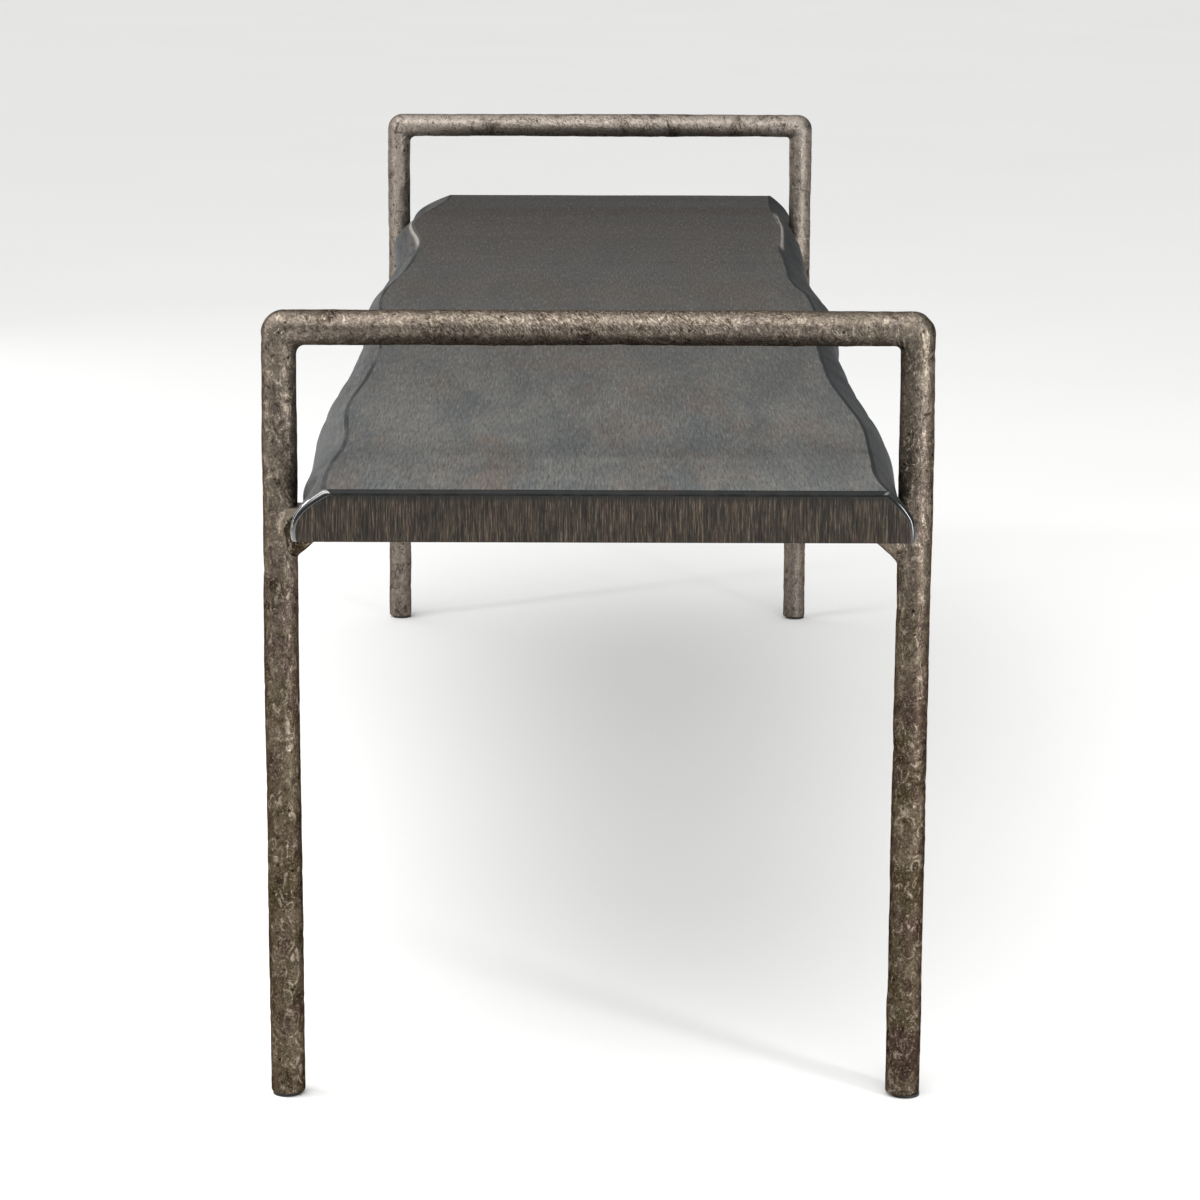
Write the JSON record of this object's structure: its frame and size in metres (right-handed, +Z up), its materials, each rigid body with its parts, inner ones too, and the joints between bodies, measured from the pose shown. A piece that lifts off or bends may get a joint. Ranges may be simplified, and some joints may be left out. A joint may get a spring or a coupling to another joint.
{
  "type": "entryway bench",
  "caption": "Long live-edge wooden bench seat held between two uneven cast-metal end hoops, with hand rails above the seat.",
  "frame": {"origin": "on the floor, under the middle of the bench", "axes": "+X along the bench, +Y across it to the back, +Z up"},
  "size_m": [1.829, 0.4625, 0.5594],
  "materials": {
    "seat_wood": "grey-brown stain, semi-gloss lacquer",
    "cast_metal": "pitted, aged bronze patina",
    "bar_steel": "satin, toned to match the hoops",
    "fastener_steel": "dull zinc",
    "insert_brass": "machined",
    "glide_plastic": "matte nylon"
  },
  "bodies": {
    "root": {"left_back_glide": "glide_plastic", "left_back_knee": "cast_metal", "left_back_leg": "cast_metal", "left_front_glide": "glide_plastic", "left_front_knee": "cast_metal", "left_front_leg": "cast_metal", "left_seat_bar": "bar_steel", "left_seat_inserts": "insert_brass", "left_seat_screws": "fastener_steel", "left_seat_washers": "fastener_steel", "left_top_rail": "cast_metal", "right_back_glide": "glide_plastic", "right_back_knee": "cast_metal", "right_back_leg": "cast_metal", "right_front_glide": "glide_plastic", "right_front_knee": "cast_metal", "right_front_leg": "cast_metal", "right_seat_bar": "bar_steel", "right_seat_inserts": "insert_brass", "right_seat_screws": "fastener_steel", "right_seat_washers": "fastener_steel", "right_top_rail": "cast_metal", "seat_slab": "seat_wood"}
  },
  "joints": []
}
